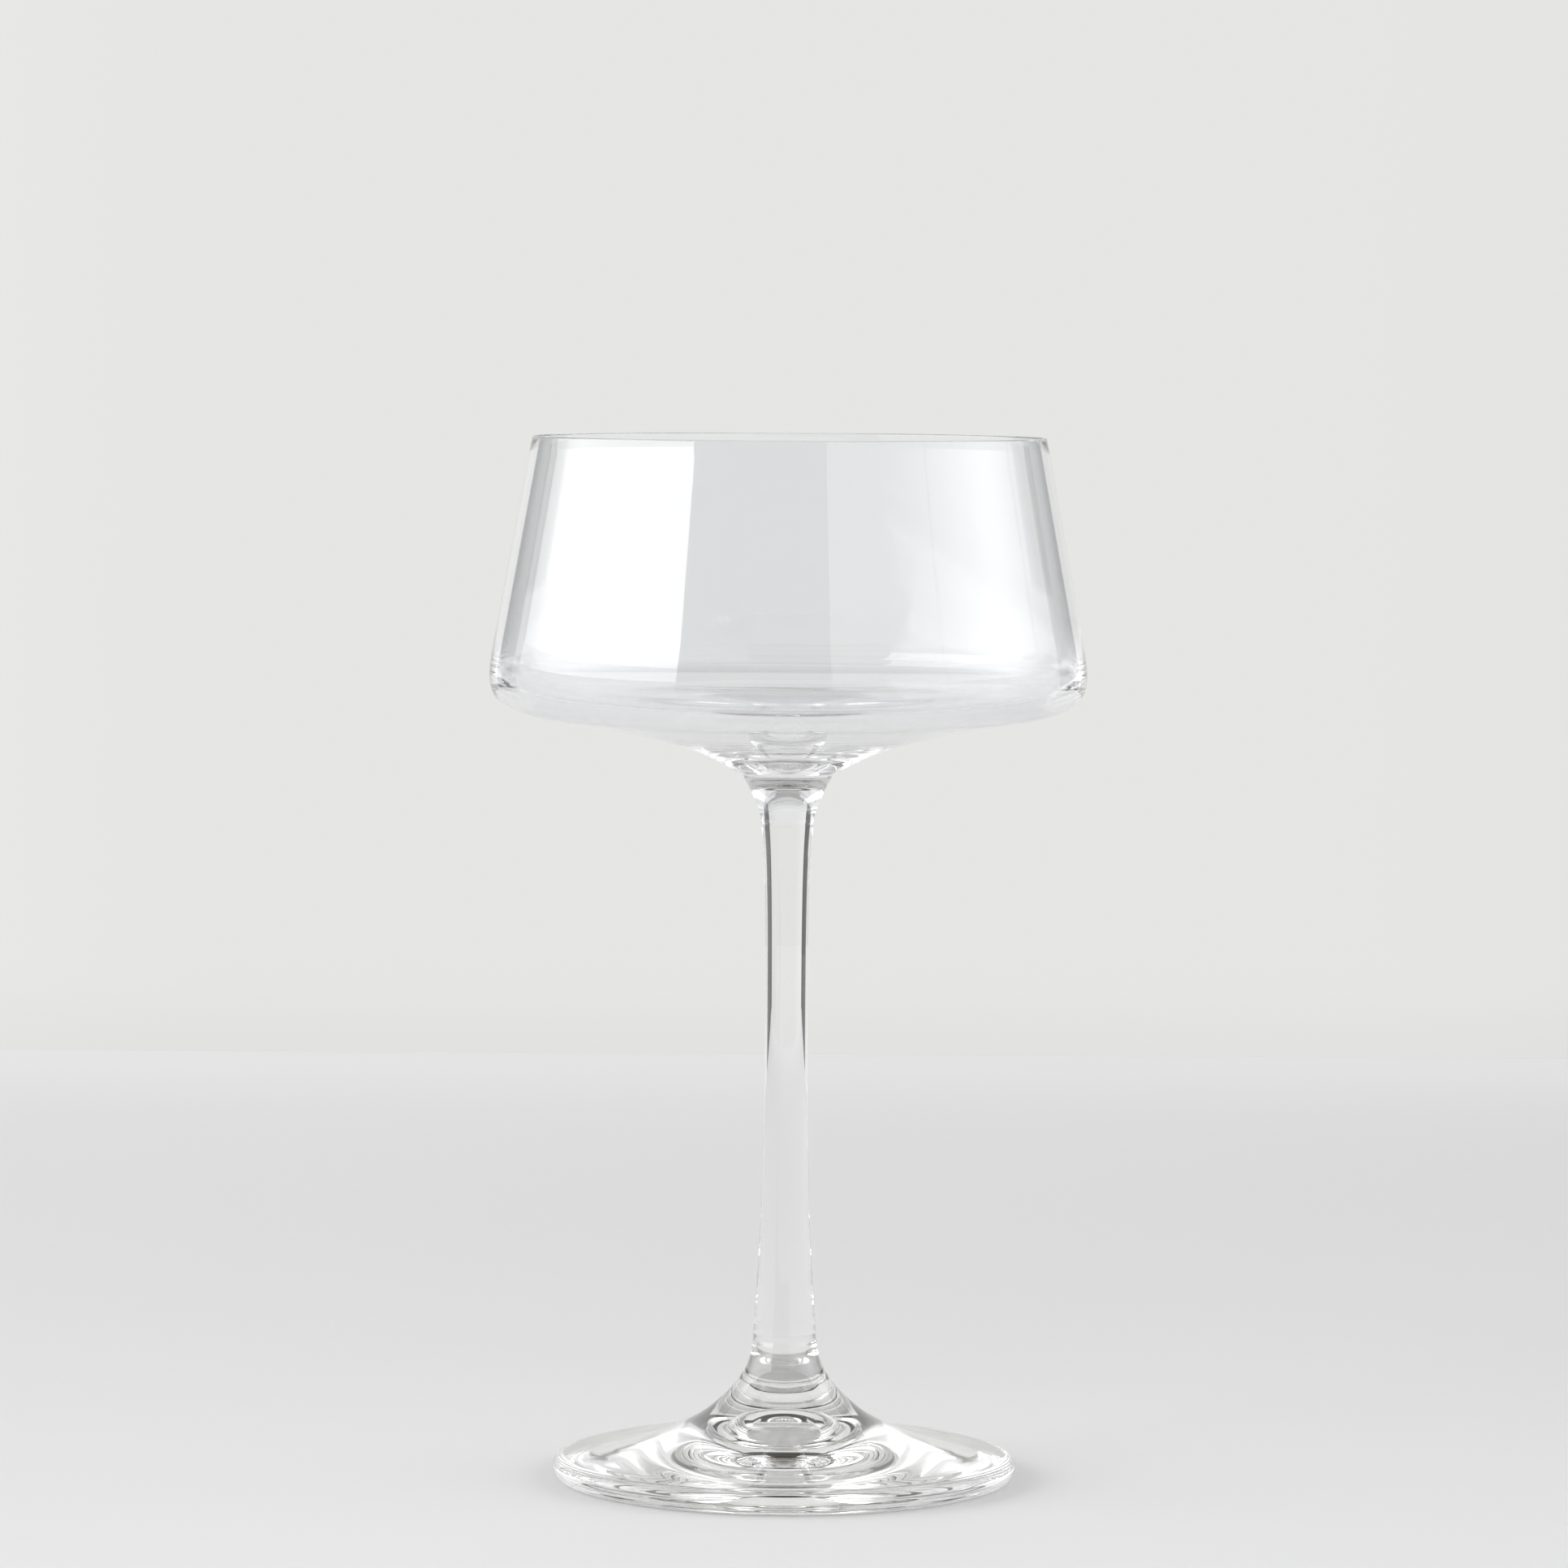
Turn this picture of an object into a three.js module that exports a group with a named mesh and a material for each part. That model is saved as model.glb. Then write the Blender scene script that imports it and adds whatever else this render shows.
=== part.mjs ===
// Martini glass with an inward-leaning bowl, in the coupe manner: three separately formed pieces of
// clear glass, fused end to end while hot. Millimetres, +Z up, origin at the middle of the resting ring.
import * as THREE from 'three';

// Driving dimensions.
const HEIGHT = 170;            // resting ring to rim
const RIM_RADIUS = 41.7;       // outside of the rim
const FOOT_RADIUS = 37.8;      // outside of the foot
const WALL = 0.6;              // bowl wall at the rim
const UPPER_JOINT_Z = 107.5;   // where the stem is fused to the bowl's neck
const UPPER_JOINT_RADIUS = 4.3;
const LOWER_JOINT_Z = 22.8;    // where the stem is fused to the foot's stub
const LOWER_JOINT_RADIUS = 5.2;
const WAIST_Z = 74;            // thinnest place of the stem
const WAIST_RADIUS = 3.5;

// Bowl: the side wall leans in from the shoulder to the rim; the bottom is a shallow cone.
const SHOULDER_Z = 139.5;      // the straight side wall ends here
const SHOULDER_RADIUS = 47.3;
const BELLY_Z = 124.2;         // the shoulder's round ends here, and the shallow bottom begins
const BELLY_RADIUS = 39.1;
const NECK_Z = 115.2;          // the bottom turns down into the neck here
const NECK_RADIUS = 7.4;
const FLOOR_Z = 117.2;         // inside of the bowl, on the axis
const LIP_RADIUS = WALL / 2;

// Foot: a disc with a full round edge, hollowed underneath.
const EDGE_RADIUS = 2.0;       // round of the foot's edge: the disc is twice this thick there
const RING_INNER_RADIUS = 31;  // the flat resting ring reaches from here to the edge's round
const FLARE_Z = 11.1;          // the stub's flare passes here
const FLARE_RADIUS = 12.7;
const DOME_RADIUS = 7.2;       // round hollow under the middle of the foot
const DOME_BASE_Z = 1.4;
const DOME_TOP_Z = 7.8;
const RIDGE_RADIUS = 9.8;      // the wide shallow hollow round it starts here
const RIDGE_Z = 1.7;

const ROUND_SEGMENTS = 56;     // facets round the axis, a multiple of four
const CURVE_STEPS = 6;         // facets along each curve of an outline

function clearGlass() {
  return new THREE.MeshStandardMaterial({
    color: 0xf4f6f4, roughness: 0.03, metalness: 0, transparent: true, opacity: 0.35,
  });
}

// Turns an outline (radius, height), from the axis below to the axis above, into a solid about +Z.
function turned(name, outline) {
  const geometry = new THREE.LatheGeometry(outline.getPoints(CURVE_STEPS), ROUND_SEGMENTS);
  geometry.rotateX(Math.PI / 2);
  const mesh = new THREE.Mesh(geometry, clearGlass());
  mesh.name = name;
  return mesh;
}

function bowl() {
  const outline = new THREE.Path();
  outline.moveTo(0, UPPER_JOINT_Z);
  outline.lineTo(UPPER_JOINT_RADIUS, UPPER_JOINT_Z);
  // Outside: neck, shallow bottom, shoulder, side wall.
  outline.bezierCurveTo(4.35, 108.1, 4.6, 110.2, NECK_RADIUS, NECK_Z);
  outline.bezierCurveTo(14.0, 118.2, 13.0, 119.9, BELLY_RADIUS, BELLY_Z);
  outline.bezierCurveTo(50.0, 125.9, 49.3, 129.3, SHOULDER_RADIUS, SHOULDER_Z);
  outline.lineTo(RIM_RADIUS, HEIGHT - LIP_RADIUS);
  // Rounded lip.
  outline.absarc(RIM_RADIUS - LIP_RADIUS, HEIGHT - LIP_RADIUS, LIP_RADIUS, 0, Math.PI, false);
  // Inside: side wall, shoulder, bottom that thickens towards the middle.
  outline.lineTo(46.65, 139.4);
  outline.bezierCurveTo(48.5, 129.6, 48.0, 127.5, 38.9, 125.7);
  outline.bezierCurveTo(18.0, 122.4, 9.5, 117.7, 0, FLOOR_Z);
  return turned('bowl', outline);
}

function stem() {
  const outline = new THREE.Path();
  outline.moveTo(0, LOWER_JOINT_Z);
  outline.lineTo(LOWER_JOINT_RADIUS, LOWER_JOINT_Z);
  outline.bezierCurveTo(4.1, 36, WAIST_RADIUS, 52, WAIST_RADIUS, WAIST_Z);
  outline.bezierCurveTo(WAIST_RADIUS, 92, 3.6, 101.5, UPPER_JOINT_RADIUS, UPPER_JOINT_Z);
  outline.lineTo(0, UPPER_JOINT_Z);
  return turned('stem', outline);
}

function foot() {
  const edgeX = FOOT_RADIUS - EDGE_RADIUS;
  const outline = new THREE.Path();
  // Underside: round hollow in the middle, wide shallow hollow round it, flat resting ring.
  outline.moveTo(0, DOME_TOP_Z);
  outline.bezierCurveTo(4.2, DOME_TOP_Z, DOME_RADIUS, 5.0, DOME_RADIUS, DOME_BASE_Z);
  outline.bezierCurveTo(7.8, 1.1, 9.0, 1.2, RIDGE_RADIUS, RIDGE_Z);
  outline.bezierCurveTo(16.0, 1.9, 22.0, 0.9, RING_INNER_RADIUS, 0);
  outline.lineTo(edgeX, 0);
  // Full round edge.
  outline.absarc(edgeX, EDGE_RADIUS, EDGE_RADIUS, -Math.PI / 2, Math.PI / 2, false);
  // Upper side: disc, flare and stub.
  outline.bezierCurveTo(28.6, 4.7, 17.7, 7.2, FLARE_RADIUS, FLARE_Z);
  outline.bezierCurveTo(5.3, 16.9, 5.6, 20.5, LOWER_JOINT_RADIUS, LOWER_JOINT_Z);
  outline.lineTo(0, LOWER_JOINT_Z);
  return turned('foot', outline);
}

const glass = new THREE.Group();
glass.add(bowl(), stem(), foot());
export default glass;
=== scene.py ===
"""Martini glass: looks and studio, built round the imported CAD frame.

Three pieces of clear glass (bowl, stem and foot) replace the CAD's faceted solids with fine turned
surfaces. They are fused end to end on the real object, so the discs where two pieces meet are optically
absent (a Transparent shader), and light passes from one to the next as in one body of glass.
Metres, the CAD's frame: +Z up, origin in the middle of the resting ring.
"""
import math

import bmesh
import bpy
from mathutils import Matrix, Vector, noise


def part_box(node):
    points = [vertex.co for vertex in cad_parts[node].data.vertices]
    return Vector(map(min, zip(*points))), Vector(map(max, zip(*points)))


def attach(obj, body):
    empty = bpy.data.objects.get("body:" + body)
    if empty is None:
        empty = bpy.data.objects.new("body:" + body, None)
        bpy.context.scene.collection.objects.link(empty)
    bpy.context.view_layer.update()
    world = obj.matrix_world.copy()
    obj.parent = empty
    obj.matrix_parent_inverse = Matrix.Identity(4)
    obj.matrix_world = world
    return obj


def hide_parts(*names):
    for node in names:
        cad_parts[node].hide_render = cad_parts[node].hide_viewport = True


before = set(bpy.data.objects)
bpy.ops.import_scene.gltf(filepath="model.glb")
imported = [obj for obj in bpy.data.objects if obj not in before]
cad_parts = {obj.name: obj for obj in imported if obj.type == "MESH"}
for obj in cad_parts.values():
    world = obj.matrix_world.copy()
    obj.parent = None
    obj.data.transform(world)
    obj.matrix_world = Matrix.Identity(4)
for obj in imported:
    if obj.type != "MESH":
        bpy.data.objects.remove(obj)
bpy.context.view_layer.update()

MM = 0.001

# The CAD's own sizes, read from its boxes.
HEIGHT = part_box("bowl")[1][2]
FOOT_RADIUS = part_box("foot")[1][0]
UPPER_JOINT_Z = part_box("stem")[1][2]
LOWER_JOINT_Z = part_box("stem")[0][2]

# Outline of the glass, as in the CAD.
RIM_RADIUS = 41.7 * MM
WALL = 0.6 * MM
UPPER_JOINT_RADIUS = 4.3 * MM
LOWER_JOINT_RADIUS = 5.2 * MM
WAIST_Z = 74 * MM
WAIST_RADIUS = 3.5 * MM
SHOULDER_Z = 139.5 * MM
SHOULDER_RADIUS = 47.3 * MM
BELLY_Z = 124.2 * MM
BELLY_RADIUS = 39.1 * MM
NECK_Z = 115.2 * MM
NECK_RADIUS = 7.4 * MM
FLOOR_Z = 117.2 * MM
LIP_RADIUS = WALL / 2
EDGE_RADIUS = 2.0 * MM
RING_INNER_RADIUS = 31 * MM
FLARE_Z = 11.1 * MM
FLARE_RADIUS = 12.7 * MM
DOME_RADIUS = 7.2 * MM
DOME_BASE_Z = 1.4 * MM
DOME_TOP_Z = 7.8 * MM
RIDGE_RADIUS = 9.8 * MM
RIDGE_Z = 1.7 * MM

SEGMENTS = 360          # steps round the axis
BOTTOM_STEPS = 200      # steps across the inside of the bowl's bottom
DOME_STEPS = 40         # steps up the hollow under the foot

# Marks of the making.
RIPPLE = 0.012 * MM     # height of the rings inside the bowl's bottom
RIPPLE_PITCH = 1.9 * MM
RIPPLE_INNER = (5 * MM, 9 * MM)     # the rings grow in between these radii,
RIPPLE_OUTER = (20 * MM, 32 * MM)   # and die away between these
DOME_PLEAT = 0.05 * MM  # depth of the pleats in the hollow under the foot
OUTSIDE_Z = 12 * MM     # above this height, the foot has no hollow
# Fine grooves round the outside: height, depth, half width, and how far they wander up and down.
GROOVES = (
    (LOWER_JOINT_Z, 0.06 * MM, 0.40 * MM, 0.35 * MM),
    (UPPER_JOINT_Z - 0.3 * MM, 0.06 * MM, 0.30 * MM, 0.15 * MM),
    (16.4 * MM, 0.03 * MM, 0.25 * MM, 0.10 * MM),
    (14.9 * MM, 0.03 * MM, 0.25 * MM, 0.12 * MM),
)


# ---------------------------------------------------------------- outlines

def line(start, end, steps=1):
    """Points from start (left out) to end."""
    return [
        (start[0] + (end[0] - start[0]) * i / steps, start[1] + (end[1] - start[1]) * i / steps)
        for i in range(1, steps + 1)
    ]


def curve(start, pull_a, pull_b, end, steps=40):
    """A cubic Bezier's points from start (left out) to end."""
    points = []
    for i in range(1, steps + 1):
        t = i / steps
        s = 1 - t
        points.append(tuple(
            s ** 3 * a + 3 * s * s * t * b + 3 * s * t * t * c + t ** 3 * d
            for a, b, c, d in zip(start, pull_a, pull_b, end)
        ))
    return points


def arc(centre, radius, from_deg, to_deg, steps=16):
    """Points along a circle, with the first left out."""
    points = []
    for i in range(1, steps + 1):
        angle = math.radians(from_deg + (to_deg - from_deg) * i / steps)
        points.append((centre[0] + radius * math.cos(angle), centre[1] + radius * math.sin(angle)))
    return points


def mm(r, z):
    return (r * MM, z * MM)


def bowl_outline():
    joint = (UPPER_JOINT_RADIUS, UPPER_JOINT_Z)
    neck = (NECK_RADIUS, NECK_Z)
    belly = (BELLY_RADIUS, BELLY_Z)
    shoulder = (SHOULDER_RADIUS, SHOULDER_Z)
    lip_out = (RIM_RADIUS, HEIGHT - LIP_RADIUS)
    lip_centre = (RIM_RADIUS - LIP_RADIUS, HEIGHT - LIP_RADIUS)
    inner_shoulder = mm(46.65, 139.4)
    inner_belly = mm(38.9, 125.7)
    points = [(0, UPPER_JOINT_Z), joint]
    points += curve(joint, mm(4.35, 108.1), mm(4.6, 110.2), neck, 24)
    points += curve(neck, mm(14.0, 118.2), mm(13.0, 119.9), belly, 48)
    points += curve(belly, mm(50.0, 125.9), mm(49.3, 129.3), shoulder, 42)
    points += line(shoulder, lip_out, 12)
    points += arc(lip_centre, LIP_RADIUS, 0, 180, 14)
    points += line(points[-1], inner_shoulder, 12)
    points += curve(inner_shoulder, mm(48.5, 129.6), mm(48.0, 127.5), inner_belly, 36)
    points += curve(inner_belly, mm(18.0, 122.4), mm(9.5, 117.7), (0, FLOOR_Z), BOTTOM_STEPS)
    return points


def stem_outline():
    low = (LOWER_JOINT_RADIUS, LOWER_JOINT_Z)
    waist = (WAIST_RADIUS, WAIST_Z)
    high = (UPPER_JOINT_RADIUS, UPPER_JOINT_Z)
    points = [(0, LOWER_JOINT_Z), low]
    points += curve(low, mm(4.1, 36), (WAIST_RADIUS, 52 * MM), waist, 150)
    points += curve(waist, (WAIST_RADIUS, 92 * MM), mm(3.6, 101.5), high, 110)
    points.append((0, UPPER_JOINT_Z))
    return points


def foot_outline():
    edge_x = FOOT_RADIUS - EDGE_RADIUS
    dome_base = (DOME_RADIUS, DOME_BASE_Z)
    ridge = (RIDGE_RADIUS, RIDGE_Z)
    flare = (FLARE_RADIUS, FLARE_Z)
    joint = (LOWER_JOINT_RADIUS, LOWER_JOINT_Z)
    points = [(0, DOME_TOP_Z)]
    points += curve(points[0], (4.2 * MM, DOME_TOP_Z), mm(7.2, 5.0), dome_base, DOME_STEPS)
    points += curve(dome_base, mm(7.8, 1.1), mm(9.0, 1.2), ridge, 16)
    points += curve(ridge, mm(16.0, 1.9), mm(22.0, 0.9), (RING_INNER_RADIUS, 0), 20)
    points += line(points[-1], (edge_x, 0), 6)
    points += arc((edge_x, EDGE_RADIUS), EDGE_RADIUS, -90, 90, 28)
    points += curve(points[-1], mm(28.6, 4.7), mm(17.7, 7.2), flare, 44)
    points += curve(flare, mm(5.3, 16.9), mm(5.6, 20.5), joint, 40)
    points.append((0, LOWER_JOINT_Z))
    return points


# ---------------------------------------------------------------- marks of the making

def smooth(low, high, value):
    """0 at low, 1 at high, and smooth between."""
    t = min(max((value - low) / (high - low), 0), 1)
    return t * t * (3 - 2 * t)


def grooves(height, angle):
    """How far the outside is pinched in at the fusing lines and at the tool marks on the foot's flare."""
    pinch = 0
    for level, depth, half_width, wander in GROOVES:
        if abs(height - level) < 4 * half_width + wander:
            drift = noise.noise(Vector((math.cos(angle), math.sin(angle), level / MM)) * 1.4)
            off = (height - level - wander * drift) / half_width
            pinch += depth * math.exp(-off * off)
    return pinch


def bowl_marks(steps_left, radius, height, angle):
    """Rings on the inside of the bowl's bottom, stronger in some places than in others."""
    if steps_left < BOTTOM_STEPS:
        spot = Vector((math.cos(angle), math.sin(angle), 0)) * (radius / MM)
        strength = 0.2 + 1.6 * abs(noise.noise(spot * 0.11))
        phase = 3.0 * noise.noise(spot * 0.06 + Vector((9, 3, 1)))
        wave = math.sin(math.tau * radius / RIPPLE_PITCH + phase)
        reach = smooth(*RIPPLE_INNER, radius) * (1 - smooth(*RIPPLE_OUTER, radius))
        return 0, RIPPLE * strength * wave * reach
    if height < NECK_Z:
        return -grooves(height, angle), 0
    return 0, 0


def stem_marks(steps_left, radius, height, angle):
    return -grooves(height, angle), 0


def foot_marks(steps_left, radius, height, angle):
    """Pleats in the hollow left by the press, and the tool marks outside."""
    if height > OUTSIDE_Z:
        return -grooves(height, angle), 0
    if radius < DOME_RADIUS + 0.1 * MM and height > DOME_BASE_Z + 0.2 * MM:
        pleat = noise.noise(Vector((math.cos(angle) * 4, math.sin(angle) * 4, 2)))
        return DOME_PLEAT * pleat * smooth(1 * MM, 5 * MM, radius), 0
    return 0, 0


# ---------------------------------------------------------------- meshes

def turned_piece(name, outline, marks, glass, fused, joint_heights):
    """A closed solid of revolution. Its flat discs at joint_heights are where it is fused to the next."""
    bm = bmesh.new()
    rings = []
    for step, (radius, height) in enumerate(outline):
        if radius < 1e-9:
            rings.append([bm.verts.new((0, 0, height))])
            continue
        ring = []
        for i in range(SEGMENTS):
            angle = math.tau * i / SEGMENTS
            out, up = marks(len(outline) - step, radius, height, angle)
            if any(abs(height - level) < 1e-7 for level in joint_heights):
                up = 0
            ring.append(bm.verts.new((
                (radius + out) * math.cos(angle), (radius + out) * math.sin(angle), height + up,
            )))
        rings.append(ring)
    for lower, upper in zip(rings, rings[1:]):
        for i in range(SEGMENTS):
            j = (i + 1) % SEGMENTS
            if len(lower) == 1:
                bm.faces.new((lower[0], upper[j], upper[i]))
            elif len(upper) == 1:
                bm.faces.new((lower[i], lower[j], upper[0]))
            else:
                bm.faces.new((lower[i], lower[j], upper[j], upper[i]))
    bmesh.ops.recalc_face_normals(bm, faces=bm.faces[:])
    for face in bm.faces:
        face.smooth = True
        if any(all(abs(v.co.z - h) < 1e-7 for v in face.verts) for h in joint_heights):
            face.material_index = 1
            for edge in face.edges:
                edge.smooth = False
    mesh = bpy.data.meshes.new(name)
    bm.to_mesh(mesh)
    bm.free()
    piece = bpy.data.objects.new(name, mesh)
    bpy.context.scene.collection.objects.link(piece)
    mesh.materials.append(glass)
    mesh.materials.append(fused)
    return piece


# ---------------------------------------------------------------- materials

def new_material(name):
    material = bpy.data.materials.new(name)
    material.use_nodes = True
    nodes = material.node_tree.nodes
    nodes.clear()
    output = nodes.new("ShaderNodeOutputMaterial")
    return material, nodes, material.node_tree.links, output


def clear_glass(name, tint, wave_scale, wave_height, haze):
    """Clear glass with the faint waviness of its making, and a slight uneven haze from handling."""
    material, nodes, links, output = new_material(name)
    shader = nodes.new("ShaderNodeBsdfPrincipled")
    shader.inputs["Base Color"].default_value = (*tint, 1)
    shader.inputs["Transmission Weight"].default_value = 1.0
    shader.inputs["IOR"].default_value = 1.52
    place = nodes.new("ShaderNodeTexCoord")
    waves = nodes.new("ShaderNodeTexNoise")
    waves.inputs["Scale"].default_value = wave_scale
    waves.inputs["Detail"].default_value = 1.5
    links.new(place.outputs["Object"], waves.inputs["Vector"])
    bump = nodes.new("ShaderNodeBump")
    bump.inputs["Strength"].default_value = 1.0
    bump.inputs["Distance"].default_value = wave_height
    links.new(waves.outputs["Fac"], bump.inputs["Height"])
    links.new(bump.outputs["Normal"], shader.inputs["Normal"])
    smears = nodes.new("ShaderNodeTexNoise")
    smears.inputs["Scale"].default_value = 55.0
    smears.inputs["Detail"].default_value = 6.0
    links.new(place.outputs["Object"], smears.inputs["Vector"])
    spread = nodes.new("ShaderNodeMapRange")
    spread.inputs["From Min"].default_value = 0.45
    spread.inputs["From Max"].default_value = 0.75
    spread.inputs["To Min"].default_value = 0.0
    spread.inputs["To Max"].default_value = haze
    links.new(smears.outputs["Fac"], spread.inputs["Value"])
    links.new(spread.outputs["Result"], shader.inputs["Roughness"])
    links.new(shader.outputs["BSDF"], output.inputs["Surface"])
    return material


def fused_joint():
    """The disc where two pieces are fused: nothing is left to see there."""
    material, nodes, links, output = new_material("fused_joint")
    shader = nodes.new("ShaderNodeBsdfTransparent")
    links.new(shader.outputs["BSDF"], output.inputs["Surface"])
    return material


# ---------------------------------------------------------------- the glass

fused = fused_joint()
bowl_glass = clear_glass("bowl_glass", (0.982, 0.986, 0.997), 30, 0.000004, 0.02)
stem_glass = clear_glass("stem_glass", (0.986, 0.986, 0.984), 60, 0.000004, 0.01)
foot_glass = clear_glass("foot_glass", (0.982, 0.980, 0.972), 40, 0.000006, 0.015)

both_joints = [LOWER_JOINT_Z, UPPER_JOINT_Z]
bowl = turned_piece("bowl_fine", bowl_outline(), bowl_marks, bowl_glass, fused, [UPPER_JOINT_Z])
stem = turned_piece("stem_fine", stem_outline(), stem_marks, stem_glass, fused, both_joints)
foot = turned_piece("foot_fine", foot_outline(), foot_marks, foot_glass, fused, [LOWER_JOINT_Z])

for piece, node, slot in (
    (bowl, "bowl", "bowl_glass"),
    (stem, "stem", "stem_glass"),
    (foot, "foot", "foot_glass"),
):
    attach(piece, "root")
    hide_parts(node)


# ---------------------------------------------------------------- camera

CAMERA_DISTANCE = 1.11
CAMERA_HEIGHT = HEIGHT + 0.0175
LOOK_DOWN_DEG = 3.8075
ROLL_DEG = 0.335
YAW_DEG = 0.031
LENS = 157.2

camera_data = bpy.data.cameras.new("camera")
camera_data.lens = LENS
camera_data.sensor_width = 36
camera = bpy.data.objects.new("camera", camera_data)
bpy.context.scene.collection.objects.link(camera)
camera.matrix_world = (
    Matrix.Translation((0, -CAMERA_DISTANCE, CAMERA_HEIGHT))
    @ Matrix.Rotation(math.radians(YAW_DEG), 4, "Z")
    @ Matrix.Rotation(math.radians(90 - LOOK_DOWN_DEG), 4, "X")
    @ Matrix.Rotation(math.radians(ROLL_DEG), 4, "Z")
)
bpy.context.scene.camera = camera


# ---------------------------------------------------------------- studio

# The studio stands on a turntable with the camera: everything round the glass keeps its place to the
# camera's left, right and far side, so that a clear object, which shows only what stands round it, is
# lit alike from every side.
studio = bpy.data.objects.new("studio_turntable", None)
bpy.context.scene.collection.objects.link(studio)
follow = studio.constraints.new("LOCKED_TRACK")
follow.target = camera
follow.track_axis = "TRACK_NEGATIVE_Y"
follow.lock_axis = "LOCK_Z"


def stage_mesh(name, verts, faces, material, glow=None):
    mesh = bpy.data.meshes.new(name)
    mesh.from_pydata(verts, [], faces)
    mesh.materials.append(material)
    if glow:
        layer = mesh.attributes.new("glow", "FLOAT", "POINT")
        for item, value in zip(layer.data, glow):
            item.value = value
    for polygon in mesh.polygons:
        polygon.use_smooth = True
    thing = bpy.data.objects.new(name, mesh)
    bpy.context.scene.collection.objects.link(thing)
    thing.parent = studio
    return thing


def paper(name, colour):
    """White paper; its glow attribute is painted light, an emission that stands in for the light of nearer
    lamps.
    """
    material, nodes, links, output = new_material(name)
    shader = nodes.new("ShaderNodeBsdfPrincipled")
    shader.inputs["Base Color"].default_value = (*colour, 1)
    shader.inputs["Roughness"].default_value = 0.9
    shader.inputs["Specular IOR Level"].default_value = 0.1
    shader.inputs["Emission Color"].default_value = (1, 1, 1, 1)
    glow = nodes.new("ShaderNodeAttribute")
    glow.attribute_name = "glow"
    links.new(glow.outputs["Fac"], shader.inputs["Emission Strength"])
    links.new(shader.outputs["BSDF"], output.inputs["Surface"])
    return material


def lit_card(name, colour):
    """A light's face: its strength at each point comes from the mesh."""
    material, nodes, links, output = new_material(name)
    glow = nodes.new("ShaderNodeAttribute")
    glow.attribute_name = "glow"
    shader = nodes.new("ShaderNodeEmission")
    shader.inputs["Color"].default_value = (*colour, 1)
    links.new(glow.outputs["Fac"], shader.inputs["Strength"])
    links.new(shader.outputs["Emission"], output.inputs["Surface"])
    return material


WALL_Y = 0.655          # the wall's foot, behind the glass
WALL_HALF = 0.42
WALL_TOP = 0.50
WALL_LIGHT = 0.79
ROOM_HALF = 0.78        # the dim room seen round the wall's sides and top
ROOM_LOW = -0.3
ROOM_TOP = 0.78
ROOM_LIGHT = 0.12
BEAM_HALF = 0.19        # a narrow dark card, high over the wall and leaning over the glass
BEAM_LOW = 0.60
BEAM_TOP = 1.2
BEAM_REACH = 0.4
BEAM_LIGHT = 0.06
TABLE_HALF = 0.44
TABLE_FRONT = -2.0      # the table runs on under the camera
TABLE_Z = -0.00015      # a hair under the resting ring
TABLE_PAINTED_LIGHT = 0.07      # painted light: a glow the table gives off itself in place of lamps, more towards the camera and at the wall
TABLE_NEAR_PAINTED_LIGHT = 0.14
TABLE_WALL_PAINTED_LIGHT = 0.03


def wall_light(x):
    """The wall is lit evenly behind the glass, a little more at its left end and less at its right."""
    return WALL_LIGHT * (1 - math.copysign(0.08, x) * smooth(0.14, 0.36, abs(x)))


def grid(columns, rows, place):
    """Points and faces of a sheet; place(u, v) gives the point, u and v running from 0 to 1."""
    verts = [place(i / columns, j / rows) for j in range(rows + 1) for i in range(columns + 1)]
    faces = []
    for j in range(rows):
        for i in range(columns):
            corner = j * (columns + 1) + i
            faces.append((corner, corner + 1, corner + columns + 2, corner + columns + 1))
    return verts, faces


def flat(half_width):
    """Across a sheet: u from 0 to 1 gives x from side to side."""
    return lambda u: half_width * (2 * u - 1)


def table():
    across = flat(TABLE_HALF)

    def on_table(u, v):
        return (across(u), WALL_Y + (TABLE_FRONT - WALL_Y) * v, TABLE_Z)

    def light(y):
        # painted light: the table's own glow, stronger towards the camera and over the last stretch before
        # the wall
        near = TABLE_NEAR_PAINTED_LIGHT * smooth(-0.5, 0.6, -y)
        return TABLE_PAINTED_LIGHT + near + TABLE_WALL_PAINTED_LIGHT * smooth(0.5, WALL_Y, y)

    verts, faces = grid(8, 60, on_table)
    glow = [light(y) for x, y, z in verts]
    stage_mesh("table", verts, faces, paper("table_paper_painted_light", (0.74, 0.74, 0.745)), glow)


def wall():
    across = flat(WALL_HALF)

    def on_wall(u, v):
        return (across(u), WALL_Y, TABLE_Z + (WALL_TOP - TABLE_Z) * v)

    verts, faces = grid(40, 60, on_wall)
    # painted shade: the wall's glow is made 4% darker over its lowest 2 cm, where it meets the table
    glow = [wall_light(x) * (1 - 0.04 * (1 - smooth(0, 0.02, z))) for x, y, z in verts]
    stage_mesh("wall", verts, faces, lit_card("wall_light", (1, 1, 0.985)), glow)


def dim_room():
    across = flat(ROOM_HALF)

    def behind_wall(u, v):
        return (across(u), WALL_Y + 0.02, ROOM_LOW + (ROOM_TOP - ROOM_LOW) * v)

    verts, faces = grid(1, 1, behind_wall)
    stage_mesh("dim_room", verts, faces, lit_card("room_light", (1, 1, 1)), [ROOM_LIGHT] * 4)


def dark_beam():
    across = flat(BEAM_HALF)

    def over_wall(u, v):
        return (across(u), WALL_Y - BEAM_REACH * v, BEAM_LOW + (BEAM_TOP - BEAM_LOW) * v)

    verts, faces = grid(1, 1, over_wall)
    beam = stage_mesh("dark_beam", verts, faces, lit_card("beam_light", (1, 0.92, 0.75)), [BEAM_LIGHT] * 4)
    beam.visible_diffuse = False
    beam.visible_shadow = False


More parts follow.
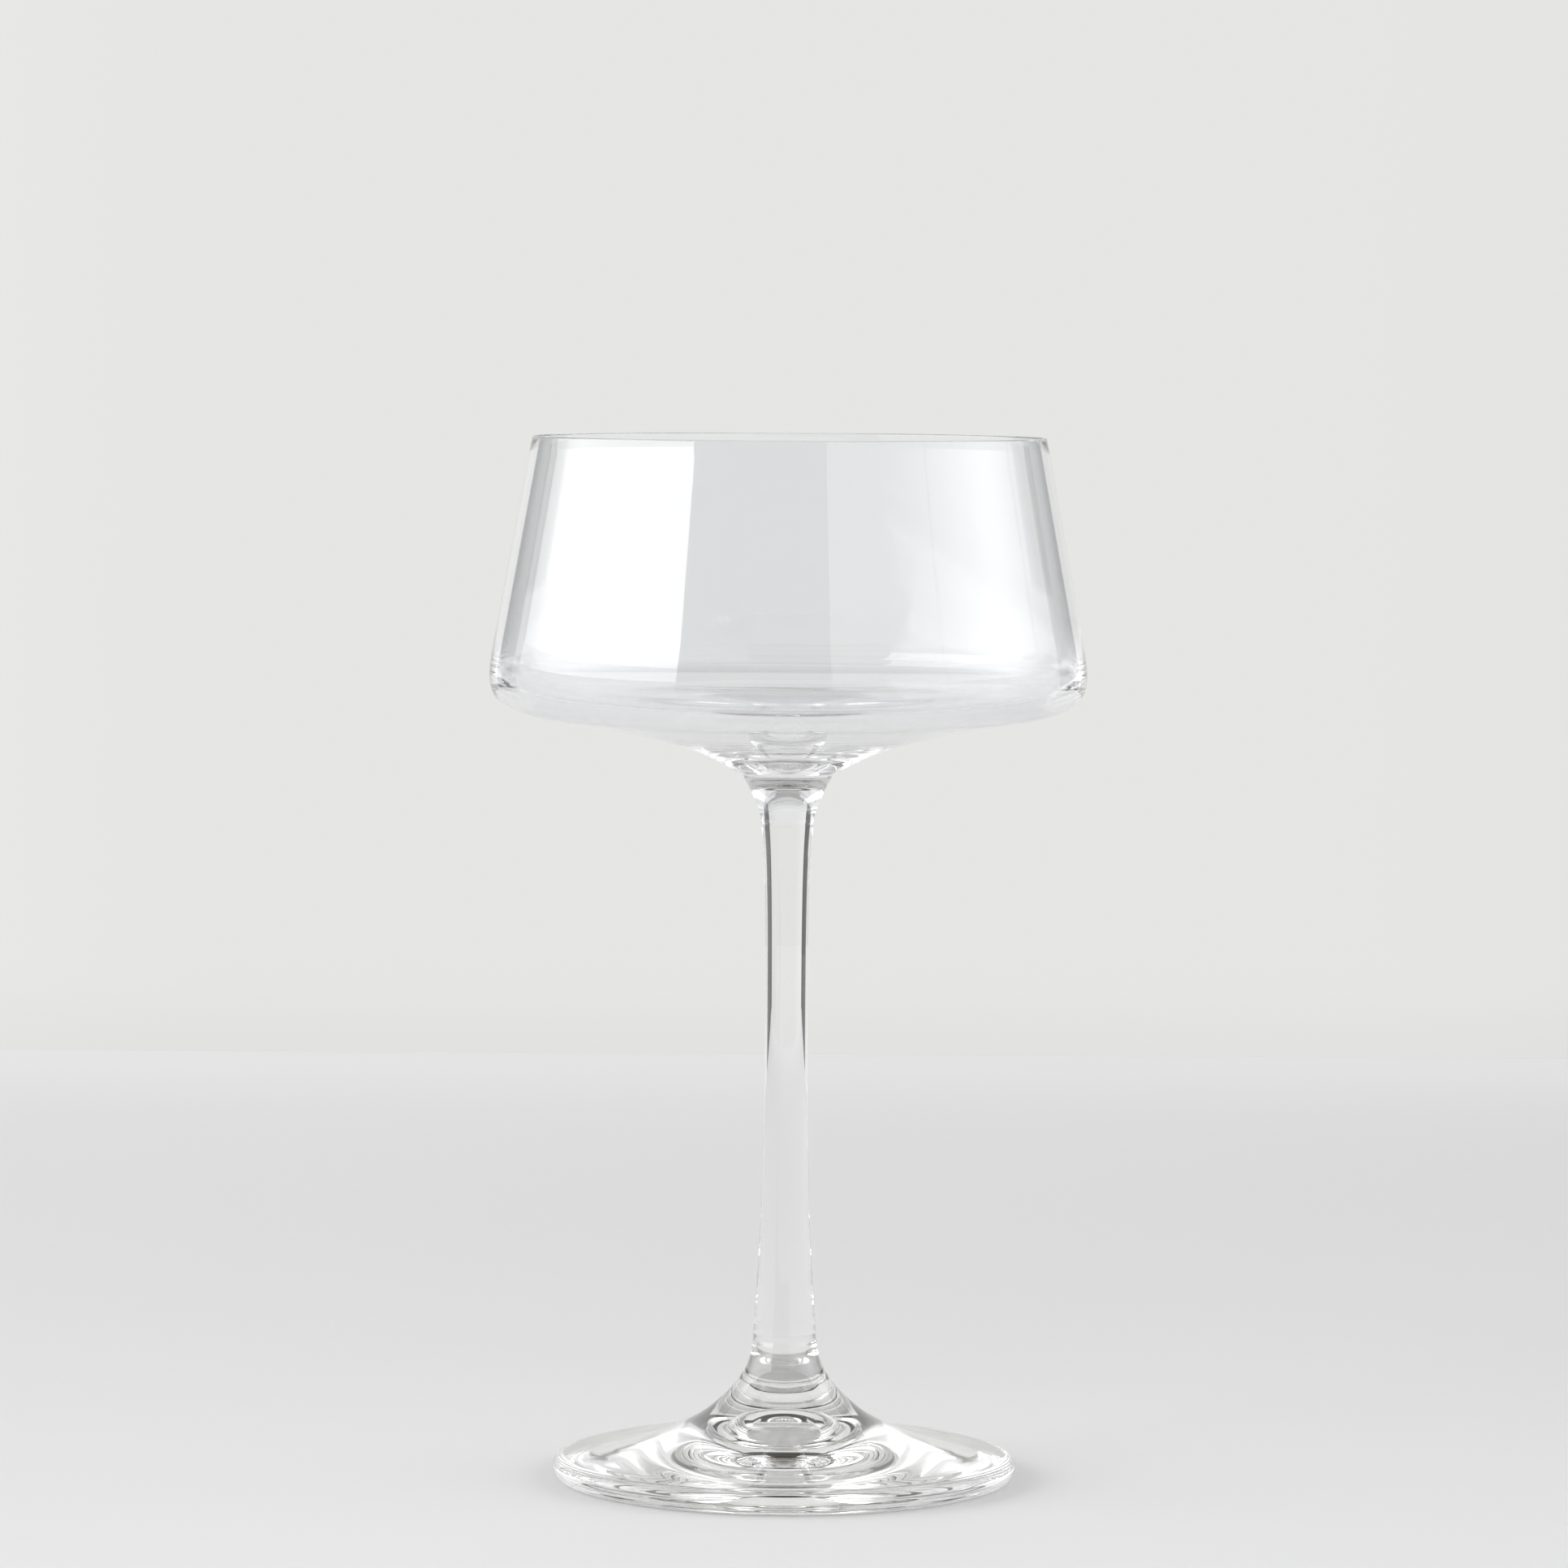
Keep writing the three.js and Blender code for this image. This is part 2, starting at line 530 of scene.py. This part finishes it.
def curved_card(name, from_deg, to_deg, radius, low, high, colour, strength, lights_table):
    """A lit card on an arc round the glass. Angles are from the camera's side, positive to its right."""
    def on_arc(u, v):
        angle = math.radians(from_deg + (to_deg - from_deg) * u)
        return (radius * math.sin(angle), -radius * math.cos(angle), low + (high - low) * v)
    verts, faces = grid(60, 1, on_arc)
    glow = [strength(math.degrees(math.atan2(x, -y))) for x, y, z in verts]
    card = stage_mesh(name, verts, faces, lit_card(name + "_light", colour), glow)
    card.visible_diffuse = lights_table
    card.visible_shadow = False
    card.visible_camera = False


CARD_RADIUS = 1.4
WINDOW_RADIUS = 1.35    # the window's panes stand in front of the wall they are in
CARD_LOW = -0.45        # the cards reach below the table's level
CARD_HIGH = 1.1
LAMP_LOW = 0.23
WHITE = (1, 1, 1)
DAYLIGHT = (0.97, 0.985, 1)


def even(level):
    """The same strength at every angle."""
    return lambda degrees: level


def softbox_light(degrees):
    return 3.6 - 2.3 * (1 - smooth(-125, -100, degrees))


def window_light(degrees):
    return 0.9 + 2.1 * smooth(34, 100, degrees) * (1 - smooth(88, 126, degrees))


def left_side():
    """A large softbox, the pale floor under it, a thin dark edge and a grey screen beyond it."""
    lamp = (CARD_RADIUS, LAMP_LOW, CARD_HIGH)
    curved_card("left_softbox", -125, -42.8, *lamp, WHITE, softbox_light, True)
    curved_card("left_floor", -127, -42.8, CARD_RADIUS, CARD_LOW, LAMP_LOW, WHITE, even(0.92), False)
    curved_card("left_edge", -125.8, -125, *lamp, WHITE, even(0.1), False)
    curved_card("left_screen", -131, -125.8, CARD_RADIUS, 0.1, CARD_HIGH, WHITE, even(0.6), False)


def behind_camera():
    curved_card("dark_doorway", -42.8, 16.3, CARD_RADIUS, 0, CARD_HIGH, WHITE, even(0.15), False)


def right_side():
    """A pale wall with a window in it, in three panes."""
    curved_card("right_wall", 16.3, 127, CARD_RADIUS, CARD_LOW, CARD_HIGH, (1, 1, 0.99), even(0.88), False)
    for start, end in ((34, 62), (62.5, 112), (112.6, 122)):
        curved_card("right_window", start, end, WINDOW_RADIUS, LAMP_LOW, CARD_HIGH,
                    DAYLIGHT, window_light, True)


# The room above the cards: how steeply one looks up (0 level, 1 straight up), and its light there.
SKY_BANDS = (
    (0.08, (0.20, 0.20, 0.20)),
    (0.26, (0.72, 0.72, 0.72)),
    (0.82, (0.74, 0.74, 0.74)),
    (0.86, (0.13, 0.12, 0.09)),    # a dark ring, warm in colour, and pale again overhead
    (0.92, (0.16, 0.15, 0.12)),
    (0.96, (0.66, 0.66, 0.66)),
)


def sky():
    """The room: dark low down, pale above, with a dark ring near the top."""
    world = bpy.data.worlds.new("studio_room")
    bpy.context.scene.world = world
    world.use_nodes = True
    nodes = world.node_tree.nodes
    links = world.node_tree.links
    nodes.clear()
    output = nodes.new("ShaderNodeOutputWorld")
    background = nodes.new("ShaderNodeBackground")
    place = nodes.new("ShaderNodeTexCoord")
    split = nodes.new("ShaderNodeSeparateXYZ")
    ramp = nodes.new("ShaderNodeValToRGB")
    ramp.color_ramp.interpolation = "EASE"
    stops = ramp.color_ramp.elements
    for index, (rise, colour) in enumerate(SKY_BANDS):
        stop = stops[index] if index < 2 else stops.new(rise)
        stop.position = rise
        stop.color = (*colour, 1)
    links.new(place.outputs["Generated"], split.inputs["Vector"])
    links.new(split.outputs["Z"], ramp.inputs["Fac"])
    links.new(ramp.outputs["Color"], background.inputs["Color"])
    links.new(background.outputs["Background"], output.inputs["Surface"])


table()
wall()
dim_room()
dark_beam()
left_side()
behind_camera()
right_side()
sky()

BOUNCES = 96            # light is guided a long way inside the glass; fewer leave black bands

scene = bpy.context.scene
scene.view_settings.view_transform = "Standard"
scene.cycles.max_bounces = BOUNCES
scene.cycles.transmission_bounces = BOUNCES
scene.cycles.glossy_bounces = BOUNCES
scene.cycles.transparent_max_bounces = 24
scene.cycles.caustics_refractive = True
scene.cycles.caustics_reflective = True
